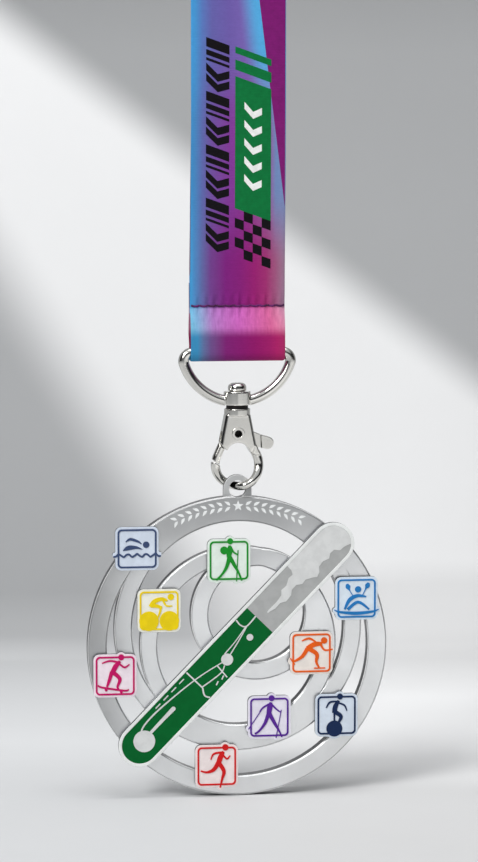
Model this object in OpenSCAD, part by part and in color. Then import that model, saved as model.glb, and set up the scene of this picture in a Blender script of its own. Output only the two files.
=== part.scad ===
// Sports finisher medal on a snap hook and a neck ribbon, hanging straight down.
// The origin is the point inside the ribbon's top fold that hangs on a neck, peg or hook.
// X runs across the ribbon, the front of the medal faces -Y and Z points up.
// Heights named "h" are measured from the centre of the medal.

/* [Medal] */
// Outer diameter of the medal
medal_d = 80; // [78:0.5:82]
// Thickness of the ring plate
plate_t = 3.5; // [3:0.1:4]
// Distance from the hanging point down to the medal's centre
medal_drop = 182; // [175:1:260]

/* [Eyelet] */
// Height of the eyelet's hole above the medal's centre
eye_h = 41.85; // [41.8:0.01:41.9]
// Outer radius of the eyelet
eye_r = 3.75; // [3.6:0.05:3.8]
// Radius of the eyelet's hole
eye_hole_r = 2.25; // [2.25:0.05:2.4]
// Thickness of the eyelet
eye_t = 1.6; // [1.4:0.1:1.6]

/* [Diagonal bar] */
// Length of the bar over its round ends
bar_len = 85.3; // [84:0.1:88]
// Width of the bar
bar_w = 11.4; // [11:0.1:12]
// Angle of the bar above the horizontal
bar_angle = 45.7; // [45:0.1:48]
// How far the bar's middle lies beside the medal's centre
bar_x = -0.55; // [-1:0.05:1]
// Height of the bar's middle above the medal's centre
bar_rise = 0.6; // [0:0.1:1]
// Thickness of the bar
bar_t = 1.5; // [1.2:0.1:2]
// Width of the bar's raised rim
bar_rim = 0.9; // [0.7:0.1:1.1]
// Where the green field ends, measured along the bar from its middle
green_end = 8.9; // [6:0.1:12]

/* [Badges] */
// Width of a badge's coloured frame
badge_w = 10.3; // [10:0.1:10.6]
// Pale edge of the plate outside the frame
badge_edge = 0.6; // [0.4:0.1:0.8]
// Thickness of a badge plate
badge_t = 1.3; // [1:0.1:1.6]
// Thickness of a print
print_t = 0.15; // [0.1:0.05:0.2]

/* [Ribbon] */
// Width of the ribbon
ribbon_w = 25; // [20:0.5:25]
// Thickness of the ribbon
ribbon_t = 0.8; // [0.5:0.1:0.9]
// Inner radius of the top fold
loop_r = 2.6; // [2.3:0.1:4]
// Height of the seam above the medal's centre
seam_h = 90.3; // [88:0.1:96]
// Length of the tail above the seam
tail_len = 6; // [4:0.5:10]

/* [D-ring] */
// Radius of the ring's wire
wire_r = 1.4; // [1.2:0.05:1.4]
// Height of the ring's bar above the medal's centre
bar_h = 77.9; // [77.5:0.1:78.5]
// Centreline radius of the ring's corners
corner_r = 2.2; // [2:0.1:2.4]
// Distance of a corner's centre from the middle
corner_x = 12; // [12:0.1:13]
// Radius of the boss in the bow
boss_r = 3.55; // [3.4:0.05:3.8]

/* [Clasp] */
// Height of the pivot pin above the medal's centre
pin_h = 56.6; // [56.4:0.1:56.8]
// Radius of the pin's barrel
pin_r = 1.3; // [1.2:0.05:1.4]
// Thickness of the clasp's body
body_t = 5; // [4.8:0.1:5.4]
// Centreline radius of the hook's round bottom
hook_r = 5.7; // [5.6:0.05:5.8]
// Radius of the hook's wire at the bottom
hook_wire_r = 1.15; // [1.05:0.05:1.15]

/* [Hidden] */
$fn = 64;
run_gap = 0.06; // clearance between a pin and its bore
swivel_gap = 1; // height of the groove between the boss and the neck of the clasp
neck_bottom = 61.3; // the neck grows out of the cheeks from here
rivet_foot = 60.6; // the rivet's post ends here
neck_r = 3.45; // the neck of the clasp, under the groove
collar_r = 2.9; // the collar in the groove
collar_gap = 0.1; // air between the collar and the boss

// Four nested rings: centre x, centre height, outer radius, inner radius
RINGS = [
    [0, 0, medal_d / 2, medal_d / 2 - 5.1],
    [0.1, 5, 33, 28.3],
    [0.1, 0.5, 26.2, 21.6],
    [5, 8.4, 17.6, 12.85]
];
front_y = -plate_t / 2;
arc_r = medal_d / 2 - 2.6;

bar_half = bar_len / 2 - bar_w / 2;
pocket_r = bar_w / 2 - bar_rim;
pocket_t = 0.35;
field_t = 0.25;
field_y = front_y - bar_t + pocket_t;
art_y = field_y - field_t;
art_t = pocket_t - field_t;

plate_half = badge_w / 2 + badge_edge;
frame_line = 0.45;
badge_y = front_y - badge_t;

bow_rise = 1.8; // the bow's centre lies this far above the bar
bow_r = corner_r + sqrt(pow(corner_x, 2) + pow(bow_rise + corner_r, 2));
bow_tilt = atan((bow_rise + corner_r) / corner_x);
boss_top = 67.7;
boss_bottom = 64.1;
neck_top = boss_bottom - swivel_gap;
post_r = 1.5;
head_r = 2.45;

fold_r = wire_r + 0.15;
layer_y = [-ribbon_t, 0, ribbon_t]; // front strap, back strap's end and tail, at the seam

hook_h = eye_h + 0.7 + hook_r; // centre of the hook's round bottom
hook_lean = 24; // the straight sides of the hook lean in by this angle
hook_swing = eye_t / 2 + hook_wire_r + 0.15; // the hook passes this far behind and in front of the eyelet
tip_y = 0.7; // plane of the gate and the hook's tip
gate_r = 9.6; // the gate's end, measured from the pin
gate_root_r = 5.45; // the gate's thick part starts here
gate_gap = 0.15;

// Places children drawn from the medal's centre
module from_medal() {
    translate([0, 0, -medal_drop]) children();
}

// An upright slab: x and h in the outline, back face at y, thickness t towards the front
module slab(y, t) {
    from_medal() translate([0, y, 0]) rotate([90, 0, 0]) linear_extrude(t) children();
}

// A cylinder along Y between two y values
module rod_y(r, y0, y1) {
    translate([0, y1, 0]) rotate([90, 0, 0]) cylinder(r = r, h = y1 - y0);
}

// A square with rounded corners
module soft_square(half, r) {
    square([2 * half, 2 * (half - r)], center = true);
    square([2 * (half - r), 2 * half], center = true);
    for (x = [-1, 1], y = [-1, 1]) translate([x, y] * (half - r)) circle(r);
}

// Smooth curve through hand-set points
function blend_at(a, b, c, d, t) =
    0.5 * (2 * b + (c - a) * t + (2 * a - 5 * b + 4 * c - d) * pow(t, 2)
    + (3 * b - 3 * c + d - a) * pow(t, 3));
function through(k, steps = 5) = [
    for (i = [0:len(k) - 2], s = [0:steps - 1])
        blend_at(k[max(i - 1, 0)], k[i], k[i + 1], k[min(i + 2, len(k) - 1)], s / steps),
    k[len(k) - 1]
];
function heading(k, i) =
    let (a = k[max(i - 1, 0)], b = k[min(i + 1, len(k) - 1)], d = [b[0] - a[0], b[1] - a[1]])
    d / norm(d);
function edge_point(k, i, side) =
    let (d = heading(k, i)) [k[i][0], k[i][1]] + side * k[i][2] / 2 * [-d[1], d[0]];

// A flat stroke: each point is x, y and the stroke's width there
module stroke(points) {
    k = through(points);
    n = len(k) - 1;
    polygon([
        for (i = [0:n]) edge_point(k, i, 1),
        for (i = [n:-1:0]) edge_point(k, i, -1)
    ]);
}

// A round wire of changing radius along points, with its rings kept square to the path
function unit(v) = v / norm(v);
function path_dir(p, i) = unit(p[min(i + 1, len(p) - 1)] - p[max(i - 1, 0)]);
module wire(p, r, sides = 14) {
    n = len(p);
    ring_points = [
        for (i = [0:n - 1])
            let (t = path_dir(p, i), u = unit(cross(t, [0, 1, 0])), v = cross(u, t))
                for (j = [0:sides - 1]) p[i] + r[i] * (cos(360 * j / sides) * u + sin(360 * j / sides) * v)
    ];
    polyhedron(
        points = ring_points,
        faces = [
            [for (j = [sides - 1:-1:0]) j],
            for (i = [0:n - 2], j = [0:sides - 1])
                let (a = i * sides + j, b = i * sides + (j + 1) % sides) [a, b, b + sides, a + sides],
            [for (j = [0:sides - 1]) (n - 1) * sides + j]
        ]
    );
}

// ---- Ribbon ----

top_y = loop_r + ribbon_t / 2; // middle of a strap beside the top fold
top_h = medal_drop - loop_r;
bar_y = fold_r + ribbon_t / 2; // middle of a layer beside the ring's bar

// A straight layer of ribbon between two points of its middle line, cut off level
module layer(y0, h0, y1, h1) {
    polygon([
        [y0 - ribbon_t / 2, h0], [y0 + ribbon_t / 2, h0],
        [y1 + ribbon_t / 2, h1], [y1 - ribbon_t / 2, h1]
    ]);
}

// A half turn of ribbon of inner radius r, opening up or down
module half_turn(r, up) {
    difference() {
        circle(r + ribbon_t);
        circle(r);
        translate([-2 * r - 2, up ? 0 : -2 * r - 2]) square([4 * r + 4, 2 * r + 2]);
    }
}

module neck_ribbon() {
    strap_slope = (top_y - layer_y[1]) / (top_h - seam_h);
    color("mediumorchid")
        from_medal() translate([-ribbon_w / 2, 0, 0]) rotate([90, 0, 90]) linear_extrude(ribbon_w) {
            translate([0, top_h]) half_turn(loop_r, false);
            layer(layer_y[0], seam_h, -top_y, top_h);
            layer(layer_y[1], seam_h - 2, top_y, top_h);
            layer(-bar_y, bar_h, layer_y[0], seam_h);
            layer(bar_y, bar_h, layer_y[2], seam_h);
            layer(layer_y[2], seam_h, layer_y[2] + strap_slope * tail_len, seam_h + tail_len);
            translate([0, bar_h]) half_turn(fold_r, true);
        }
}

stitch_r = 0.22;
stitch_len = 1.7;
stitch_step = 2.25;
stitch_count = 11;

module seam_thread() {
    out_y = 1.5 * ribbon_t;
    color("indigo")
        from_medal() for (i = [0:stitch_count - 1], side = [-1, 1])
            translate([(i - (stitch_count - 1) / 2) * stitch_step, side * out_y, seam_h])
                rotate([0, 90, 0]) cylinder(r = stitch_r, h = stitch_len, center = true, $fn = 16);
}

// ---- D-ring and swivel ----

module d_ring() {
    bow_h = bar_h + bow_rise;
    corner_swell = 0.03;
    boss_turn = acos((boss_r - 0.5) / bow_r);
    color("silver") from_medal() difference() {
        union() {
            translate([-corner_x, 0, bar_h]) rotate([0, 90, 0]) cylinder(r = wire_r, h = 2 * corner_x);
            for (side = [0, 1]) mirror([side, 0, 0]) {
                translate([corner_x, 0, bar_h - corner_r]) rotate([90, 0, 0])
                    rotate([0, 0, -bow_tilt]) rotate_extrude(angle = 90 + bow_tilt)
                        translate([corner_r, 0]) circle(wire_r + corner_swell);
                translate([0, 0, bow_h]) rotate([90, 0, 0])
                    rotate([0, 0, -boss_turn]) rotate_extrude(angle = boss_turn - bow_tilt)
                        translate([bow_r, 0]) circle(wire_r);
            }
            translate([0, 0, boss_bottom]) cylinder(r = boss_r, h = boss_top - boss_bottom);
        }
        translate([0, 0, boss_bottom - 2]) cylinder(r = post_r + run_gap, h = 10);
    }
}

module swivel_rivet() {
    head_bottom = boss_top + run_gap;
    head_t = 1.8;
    chamfer = 0.4;
    color("gainsboro") from_medal() {
        translate([0, 0, rivet_foot]) cylinder(r = post_r, h = head_bottom - rivet_foot);
        translate([0, 0, head_bottom]) cylinder(r = head_r, h = head_t);
        translate([0, 0, head_bottom + head_t]) cylinder(r1 = head_r, r2 = head_r - chamfer, h = chamfer);
    }
}

// ---- Clasp ----

// Points of the egg-shaped hook, by angle from the bottom, positive to the right
function ease(t) = let (s = min(max(t, 0), 1)) s * s * (3 - 2 * s);
function hook_y(a, end_y) = abs(a) < 22
    ? -sign(a) * hook_swing * sin(90 * abs(a) / 22)
    : -sign(a) * hook_swing + (end_y + sign(a) * hook_swing) * ease((abs(a) - 38) / 56);
function hook_at(a, end_y) = [hook_r * sin(a), hook_y(a, end_y), hook_h - hook_r * cos(a)];
function side_at(s, side, end_y) = [
    side * (hook_r * cos(hook_lean) - s * sin(hook_lean)),
    end_y,
    hook_h + hook_r * sin(hook_lean) + s * cos(hook_lean)
];
arm_y = -0.4; // plane of the hook's fixed arm

function hook_radius(a) = hook_wire_r + 0.1 * ease((abs(a) - 40) / 50);
hook_angles = [for (a = [-96:4:-28]) a, for (a = [-25:2.5:25]) a, for (a = [28:4:112]) a];
hook_path = concat(
    [for (a = hook_angles) hook_at(a, a < 0 ? tip_y : arm_y)],
    [for (s = [0.4, 1.6, 2.8]) side_at(s, 1, arm_y)]
);
hook_radii = [for (a = hook_angles) hook_radius(a), for (s = [0:2]) hook_radius(90)];

// Outline of the cheeks, drawn in by a margin
module cheek_outline(inset) {
    polygon([
        [-3.3 + inset, 61.6], [3.3 - inset, 61.6],
        [4.9 - inset, 53.3], [4.2 - inset, 51.2 + inset],
        [-4.2 + inset, 51.2 + inset], [-4.9 + inset, 53.3]
    ]);
}

module from_pin() {
    from_medal() translate([0, 0, pin_h]) children();
}

// The slot in which the lever rocks, seen from the front
module lever_slot() {
    polygon([
        [0, pin_h + 3.1], [-2.2, pin_h + 2.4], [-6, pin_h - 1.6], [-6, 50], [0.3, 50],
        [0.5, pin_h - 2.4], [5.2, 52.4], [7.5, 51.4], [9.5, 60.5], [3.6, pin_h + 3.4]
    ]);
}

module clasp_body() {
    bevel = 0.6;
    slot_front = -1.5;
    slot_back = 1.6;
    color("silver") difference() {
        union() {
            difference() {
                hull() {
                    slab(body_t / 2, body_t) cheek_outline(bevel);
                    slab(body_t / 2 - bevel, body_t - 2 * bevel) cheek_outline(0);
                }
                hull() {
                    from_medal() translate([0, 0, hook_h]) rod_y(hook_r - 1.2, -4, 4);
                    from_medal() translate([0, 0, 51.1]) rod_y(3.1, -4, 4);
                }
                slab(4, 8) difference() {
                    translate([-8, 49]) square([6.8, 8]);
                    translate([0, pin_h]) circle(gate_root_r - gate_gap);
                }
            }
            slab(2, 4) polygon([[3.9, 53.4], [5.0, 53.4], [6.05, 50.9], [4.4, 50.9]]);
            from_medal() difference() {
                wire(hook_path, hook_radii);
                intersection() {
                    translate([0, 0, pin_h]) rod_y(gate_r + gate_gap, tip_y - 3, tip_y + 3, $fn = 128);
                    translate([-10, -5, 46]) cube([8, 10, 8]);
                }
            }
            from_medal() translate([0, 0, neck_bottom]) {
                cylinder(r = neck_r, h = neck_top - neck_bottom);
                cylinder(r = collar_r, h = boss_bottom - collar_gap - neck_bottom);
            }
        }
        slab(slot_back, slot_back - slot_front) lever_slot();
        from_pin() rod_y(pin_r, -4, 4);
        from_medal() translate([0, 0, rivet_foot]) cylinder(r = post_r, h = 5);
    }
}

module pivot_pin() {
    rim_r = 1.7;
    rim_t = 0.3;
    hole_r = 0.95;
    web_half = 0.6; // the hole is blind from both sides
    color("gainsboro") from_pin() difference() {
        union() {
            rod_y(pin_r, -body_t / 2, body_t / 2);
            rod_y(rim_r, -body_t / 2 - rim_t, -body_t / 2);
            rod_y(rim_r, body_t / 2, body_t / 2 + rim_t);
        }
        rod_y(hole_r, -4, -web_half);
        rod_y(hole_r, web_half, 4);
    }
}

// Torsion spring: a coil round the pin with one leg up and one leg on the lever's neck
module lever_spring() {
    coil_r = 1.75;
    spring_wire_r = 0.16;
    turns = 2;
    first_y = -1.25;
    pitch = 0.38;
    step = 20;
    coil = [
        for (a = [0:step:360 * turns + 90])
            [coil_r * cos(a + 90), first_y + pitch * a / 360, coil_r * sin(a + 90)]
    ];
    legs = concat([[coil_r + 0.6, first_y, coil_r + 0.1]], coil, [[-coil_r, coil[len(coil) - 1][1], -1.6]]);
    color("dimgray") from_pin() wire(legs, [for (p = legs) spring_wire_r], 8);
}

module gate_lever() {
    plate_half_t = 0.8;
    hub_r = 2.4;
    tab_half_t = 1.3;
    gate_wire_r = 1.15;
    gate_path = concat(
        [for (a = [-86:-4:-114]) hook_at(a, tip_y)],
        [for (s = [0.4, 1.4, 2.4, 3.4]) side_at(s, -1, tip_y)]
    );
    color("gainsboro") {
        difference() {
            slab(tip_y + plate_half_t, 2 * plate_half_t) {
                translate([0, pin_h]) circle(hub_r);
                polygon([
                    [0.4, pin_h + 2.35], [4.9, pin_h + 0.1], [7.2, pin_h - 0.8],
                    [7.0, 52.6], [5.3, 52.65], [0.7, pin_h - 2.2]
                ]);
                polygon([
                    [-1.6, pin_h + 1.7], [-4.55, 54.2], [-5.1, 52.3], [-3.9, 51.7], [-0.6, pin_h - 2.2]
                ]);
            }
            from_pin() rod_y(pin_r + run_gap, -4, 4);
        }
        slab(tip_y + tab_half_t, 2 * tab_half_t) {
            polygon([[6.3, pin_h - 0.5], [8.55, pin_h - 1.1], [8.1, 52.3], [6.5, 52.5]]);
            translate([8.05, 53.9]) circle(1.65);
        }
        from_medal() intersection() {
            wire(gate_path, [for (p = gate_path) gate_wire_r]);
            translate([0, 0, pin_h]) difference() {
                rod_y(gate_r, tip_y - 3, tip_y + 3, $fn = 128);
                rod_y(gate_root_r, tip_y - 4, tip_y + 4);
            }
        }
    }
}

// ---- Medal ----

module medal_rings() {
    color("lightgray") difference() {
        union() {
            slab(plate_t / 2, plate_t) for (ring = RINGS) translate([ring[0], ring[1]]) difference() {
                circle(ring[2], $fn = 180);
                circle(ring[3], $fn = 180);
            }
            slab(eye_t / 2, eye_t) {
                translate([0, eye_h]) circle(eye_r);
                translate([-eye_r, medal_d / 2 - 3]) square([2 * eye_r, eye_h - medal_d / 2 + 3]);
            }
        }
        from_medal() translate([0, 0, eye_h]) rod_y(eye_hole_r, -4, 4);
    }
}

// Laurel leaves on both sides of a star, along the top of the outer ring
leaf_pairs = 8;
leaf_step = 3.2;
leaf_len = 1.9;
leaf_w = 0.75;

module leaf() {
    stroke([[0, 0, 0.05], [leaf_len * 0.4, 0.12, leaf_w], [leaf_len, 0, 0.05]]);
}

module star(r) {
    polygon([
        for (i = [0:9]) (i % 2 == 0 ? r : 0.4 * r) * [sin(36 * i), cos(36 * i)]
    ]);
}

module top_arc_ornament() {
    color("white") slab(front_y, print_t) {
        translate([0, arc_r]) star(1.5);
        for (side = [0, 1], i = [1:leaf_pairs]) mirror([side, 0]) rotate(-i * leaf_step) translate([0, arc_r]) {
            translate([0, 0.2]) rotate(38) leaf();
            translate([0, -0.2]) rotate(-38) leaf();
        }
    }
}

// Places children on the bar: x along it, y across it
module on_bar() {
    translate([bar_x, bar_rise]) rotate(bar_angle) children();
}

module stadium(half, r) {
    square([2 * half, 2 * r], center = true);
    for (x = [-half, half]) translate([x, 0]) circle(r);
}

module bar_plate() {
    color("whitesmoke") difference() {
        slab(front_y, bar_t) on_bar() stadium(bar_half, bar_w / 2);
        slab(field_y, 2) on_bar() stadium(bar_half, pocket_r);
    }
}

module bar_field(from_x, to_x) {
    intersection() {
        stadium(bar_half, pocket_r);
        translate([from_x, -bar_w]) square([to_x - from_x, 2 * bar_w]);
    }
}

module bar_green_enamel() {
    color("darkgreen") slab(field_y, field_t) on_bar() bar_field(-bar_len, green_end);
}

module bar_grey_enamel() {
    color("darkgray") slab(field_y, field_t) on_bar() bar_field(green_end, bar_len);
}

// Outline of the light cloud on the grey field, along and across the bar
CLOUD = [
    [green_end + 0.8, 0], [12.6, 0.25], [15.5, 0.2], [17.6, 0.5], [18.6, 1.5], [20.3, 1.3], [22.2, 2.3],
    [23.6, 2.1], [24.2, 3.2], [24.3, 4.9], [38, 5.5], [44, 3], [43, -2], [41, -4], [40, -3.3], [38.4, -2.7],
    [37, -2.6], [36, -1.3], [34.6, -1.2], [33.4, -2], [31.8, -1.3], [30, -1.5], [29, -2.6], [27.7, -3.1],
    [26.6, -2.2], [25, -1.3], [23.6, -1.5], [22.3, -0.5], [20.6, -0.5], [19.4, -1.4], [17.3, -1.6],
    [15.9, -0.7], [14, -0.8], [12.4, -0.3]
];

module bar_light_enamel() {
    round_off = 0.22;
    color("gainsboro") slab(art_y, art_t) on_bar() {
        intersection() {
            offset(r = round_off) offset(r = -2 * round_off) offset(r = round_off) polygon(CLOUD);
            stadium(bar_half, pocket_r);
        }
        translate([-bar_half + 1.6, 0]) circle(2.9);
        translate([-4.6, -0.9]) circle(1.6);
        translate([3.8, -1.2]) circle(0.9);
        stroke([[-bar_half + 3, 0.35, 0.75], [-28, 0.4, 0.9], [-23.8, 0.4, 1.15]]);
        translate([-23.8, 0.4]) circle(0.57);
        stroke([[-34.7, 2, 0.4], [-32.2, 3, 0.4], [-26, 3, 0.4], [-14, 1.5, 0.3], [-4.6, -0.9, 0.25]]);
        stroke([[-14.5, 4.6, 0.4], [-14.5, -1.4, 0.4]]);
        stroke([[-14.5, -1.4, 0.4], [-15.6, -3.2, 0.4], [-15, -4.7, 0.4]]);
        stroke([[-14.4, -1.2, 0.35], [-8.5, -2.2, 0.3], [-6.2, -1.5, 0.3]]);
        stroke([[-4.6, -0.9, 0.3], [0.5, 0.2, 0.3], [5.2, 1.4, 0.3]]);
        stroke([[-4, 0.6, 0.3], [0.6, 0.9, 0.25], [5.2, 1.6, 0.3]]);
        stroke([[green_end, 1.6, 0.4], [5.4, 1.5, 0.35], [4.4, 2.9, 0.35], [4.6, 4.7, 0.4]]);
        stroke([[-7.6, -0.2, 0.35], [-8, -4.2, 0.35]]);
        for (x = [-27, -24, -21, -18]) stroke([[x, 3.9, 0.3], [x + 1.8, 3.9, 0.3]]);
        for (x = [-11.5, -9.4]) stroke([[x, -3.6, 0.35], [x + 1.1, -3.2, 0.35]]);
    }
}

// ---- Badges ----

// Name, x, height, and the round bits of plate that follow a figure past the frame: x, y, radius
BADGES = [
    ["swimmer", -27, 26.7, [[-5.7, -1.7, 0.8], [5.7, -1.7, 0.8]]],
    ["cyclist", -21.2, 10.1, [[-2.7, -2.75, 3.1], [2.7, -2.75, 3.1]]],
    ["hiker", -2.6, 23.1, [[0.3, 5.1, 1.35], [-3.3, -5.1, 0.95], [2, -5.3, 0.95], [3.4, -5.2, 0.95]]],
    ["rower", 31.6, 12.3, [[-5.6, -3.2, 0.85], [5.6, -3.2, 0.85]]],
    ["skater", 19.5, -2.1, [[5.3, 0.8, 0.95], [-5.1, -2.1, 1.2]]],
    ["skateboarder", -32.9, -7, [[1.6, 4.9, 1.35]]],
    ["nordic_walker", 8.2, -19.1, [[0.6, 5.1, 1.35], [-5.3, -2.9, 0.95], [1.8, -5.2, 0.95], [3.3, -5.1, 0.95]]],
    ["unicyclist", 26.3, -19, [[0.9, 5, 1.35], [-0.6, -3.6, 2.75]]],
    ["runner", -5.9, -31.9, [[2.3, 5, 1.4], [1, -5.5, 0.95]]]
];

module at_badge(i) {
    translate([BADGES[i][1], BADGES[i][2]]) children();
}

module badge_plate(i) {
    slab(front_y, badge_t) at_badge(i) {
        soft_square(plate_half, 1.6);
        for (bit = BADGES[i][3]) translate([bit[0], bit[1]]) circle(bit[2]);
    }
}

module badge_print(i) {
    slab(badge_y, print_t) at_badge(i) {
        difference() {
            soft_square(badge_w / 2, 1.1);
            soft_square(badge_w / 2 - frame_line, 0.75);
        }
        children();
    }
}

module dot(x, y, r) {
    translate([x, y]) circle(r, $fn = 32);
}

module swimmer_figure() {
    stroke([for (x = [-6.3:0.7:6.3]) [x, -1.8 + 0.4 * cos(x * 150), 0.5]]);
    stroke([[-3.7, -0.5, 0.2], [-2.3, 0.2, 1.2], [-0.2, 0.3, 0.7], [1.4, -0.2, 0.1]]);
    stroke([[-3, 1.8, 0.2], [-1.8, 2.5, 0.7], [0.2, 1.9, 0.6], [1.2, 1.2, 0.2]]);
    dot(2.4, 1, 0.85);
}

module cyclist_figure() {
    dot(-2.7, -2.75, 2.6);
    dot(2.7, -2.75, 2.6);
    stroke([[-2.4, 1.1, 0.9], [-1.2, 2.5, 1.2], [0.8, 3.1, 0.9], [2.2, 2.6, 0.5]]);
    stroke([[1, 2.8, 0.6], [1.9, 1.3, 0.45], [3.5, 1.2, 0.3]]);
    stroke([[-2.2, 1.4, 1.1], [-0.8, 1.3, 1], [0.7, 0.8, 0.7]]);
    stroke([[0.5, 1, 0.7], [0.2, -0.4, 0.55], [-0.3, -1.8, 0.4]]);
    dot(3.1, 3.6, 0.85);
}

module hiker_figure() {
    dot(0.3, 5.1, 0.8);
    stroke([[0.2, 4, 0.6], [0.1, 2.6, 1.5], [0, 1, 1.2], [0.3, 0.2, 0.9]]);
    dot(-1.3, 2.7, 1.05);
    stroke([[0.5, 3.6, 0.5], [1.2, 2.2, 0.5], [2.4, 1.5, 0.35]]);
    stroke([[2.4, 2.7, 0.25], [2, -5.6, 0.25]]);
    stroke([[0.2, 0.9, 1.1], [1.5, -1.4, 0.9], [2.5, -3.2, 0.6], [3.4, -5.4, 0.5]]);
    stroke([[0.1, 0.9, 1.1], [-0.6, -1.6, 0.9], [-1.8, -3.6, 0.6], [-3.4, -5.2, 0.5]]);
}

module rower_figure() {
    stroke([[-6, -3, 0.2], [-4.4, -3.6, 0.6], [0, -4, 0.9], [4.4, -3.6, 0.6], [6, -3, 0.2]]);
    stroke([[-3.2, -2.9, 0.5], [-1.9, -0.4, 1], [0.2, 0.7, 0.9], [2.6, 0.4, 0.4]]);
    stroke([[-2.4, -3, 0.8], [0.4, -1, 0.8], [3.4, -3, 0.5]]);
    stroke([[-2.6, 3.9, 0.6], [-2.3, 3.1, 1.3], [-1.9, 2.2, 0.3], [-0.9, 0.6, 0.25]]);
    stroke([[3.3, 4.1, 0.6], [2.9, 3.3, 1.3], [2.4, 2.4, 0.3], [1.4, 0.4, 0.25]]);
    dot(0.4, 2.4, 0.85);
}

module skater_figure() {
    dot(3.4, 3.3, 0.85);
    stroke([[2.9, 2.4, 0.9], [0.8, 2.3, 1.3], [-1.2, 1.2, 1.2]]);
    stroke([[1.2, 2.9, 0.4], [-0.6, 3.9, 0.6], [-2.6, 3.3, 0.3]]);
    stroke([[2.5, 2.1, 0.6], [3.6, 0.7, 0.5], [5.7, 0.9, 0.3]]);
    stroke([[-1, 1.3, 1.2], [1.4, -0.3, 1.1], [1.3, -2.4, 0.7], [2, -3.9, 0.5]]);
    stroke([[0.7, -4.1, 0.35], [3.7, -4.1, 0.35]]);
    stroke([[-1.1, 1.2, 1.1], [-2.5, -0.9, 0.9], [-4.7, -2.2, 0.5]]);
    stroke([[-5.7, -1.3, 0.35], [-4.5, -3, 0.35]]);
}

module skateboarder_figure() {
    dot(1.6, 4.9, 0.8);
    stroke([[1.3, 3.9, 0.7], [0.2, 2.6, 1.3], [-0.8, 0.8, 1.2]]);
    stroke([[0.9, 3.6, 0.5], [-1.4, 4, 0.5], [-3.5, 3.4, 0.3]]);
    stroke([[1.1, 3.2, 0.5], [2.5, 2.2, 0.5], [3.8, 3, 0.3]]);
    stroke([[-0.8, 1.1, 1.1], [1.2, -0.8, 1], [0.6, -2.9, 0.6], [0.9, -3.6, 0.5]]);
    stroke([[-0.9, 1.1, 1], [-1.5, -1, 0.9], [-2.2, -2.9, 0.5]]);
    stroke([[-4.5, -2.4, 0.35], [-3.6, -3, 0.5], [2.4, -4, 0.5], [3.6, -3.7, 0.35]]);
    dot(-2.4, -3.7, 0.4);
    dot(1.6, -4.3, 0.4);
}

module nordic_walker_figure() {
    dot(0.6, 5.1, 0.8);
    stroke([[0.4, 4, 0.7], [0.1, 2.6, 1.4], [-0.2, 0.7, 1.2]]);
    stroke([[0.6, 3.5, 0.5], [1.8, 2.2, 0.45], [3, 1.3, 0.3]]);
    stroke([[-0.1, 3.5, 0.5], [-1.7, 2.6, 0.45], [-2.6, 1.5, 0.3]]);
    stroke([[3.2, 1.9, 0.22], [1.8, -5.6, 0.22]]);
    stroke([[-2.2, 1.9, 0.22], [-5.6, -3.1, 0.22]]);
    stroke([[0, 1, 1.1], [1.4, -1.6, 0.9], [2.7, -3.9, 0.5], [3.4, -5.4, 0.4]]);
    stroke([[-0.2, 1, 1.1], [-1.2, -1.6, 0.8], [-2.7, -3.6, 0.5], [-3.9, -4.4, 0.5]]);
}

module unicyclist_figure() {
    dot(-0.6, -3.6, 2.15);
    dot(0.9, 5, 0.8);
    stroke([[0.6, 3.9, 0.7], [-0.3, 2.4, 1.3], [-0.6, 0.6, 1.2]]);
    stroke([[0.2, 3.7, 0.4], [-1.8, 3.5, 0.5], [-2.8, 2, 0.3]]);
    stroke([[0.5, 3.3, 0.4], [2.1, 2.6, 0.5], [2.8, 1.1, 0.3]]);
    stroke([[-0.5, 0.9, 1.2], [1.2, -0.4, 1], [0.4, -2.2, 0.5]]);
    stroke([[-0.6, 0.8, 0.5], [-0.6, -2, 0.4]]);
}

module runner_figure() {
    dot(2.3, 5, 0.85);
    stroke([[1.8, 3.9, 0.7], [1, 2.4, 1.4], [0.4, 0.6, 1.2]]);
    stroke([[1.4, 3.7, 0.5], [-0.8, 3.3, 0.5], [-1.6, 1.8, 0.3]]);
    stroke([[1.5, 3.2, 0.5], [2.7, 1.9, 0.5], [3.6, 2.8, 0.3]]);
    stroke([[0.5, 0.9, 1.2], [1.9, -1.4, 1], [1.4, -3.6, 0.6], [0.9, -5.8, 0.4]]);
    stroke([[0.4, 0.9, 1.2], [-0.8, -0.9, 1], [-2.6, -1.6, 0.6], [-4.3, -1.2, 0.4]]);
}

neck_ribbon();
seam_thread();
d_ring();
swivel_rivet();
clasp_body();
pivot_pin();
lever_spring();
gate_lever();
medal_rings();
top_arc_ornament();
bar_plate();
bar_green_enamel();
bar_grey_enamel();
bar_light_enamel();
color("aliceblue") badge_plate(0);  // badge_swimmer
color("lightyellow") badge_plate(1);  // badge_cyclist
color("honeydew") badge_plate(2);  // badge_hiker
color("aliceblue") badge_plate(3);  // badge_rower
color("seashell") badge_plate(4);  // badge_skater
color("lavenderblush") badge_plate(5);  // badge_skateboarder
color("ghostwhite") badge_plate(6);  // badge_nordic_walker
color("aliceblue") badge_plate(7);  // badge_unicyclist
color("snow") badge_plate(8);  // badge_runner
color("darkslateblue") badge_print(0) swimmer_figure();  // print_swimmer
color("gold") badge_print(1) cyclist_figure();  // print_cyclist
color("green") badge_print(2) hiker_figure();  // print_hiker
color("steelblue") badge_print(3) rower_figure();  // print_rower
color("orangered") badge_print(4) skater_figure();  // print_skater
color("mediumvioletred") badge_print(5) skateboarder_figure();  // print_skateboarder
color("rebeccapurple") badge_print(6) nordic_walker_figure();  // print_nordic_walker
color("midnightblue") badge_print(7) unicyclist_figure();  // print_unicyclist
color("crimson") badge_print(8) runner_figure();  // print_runner
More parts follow.
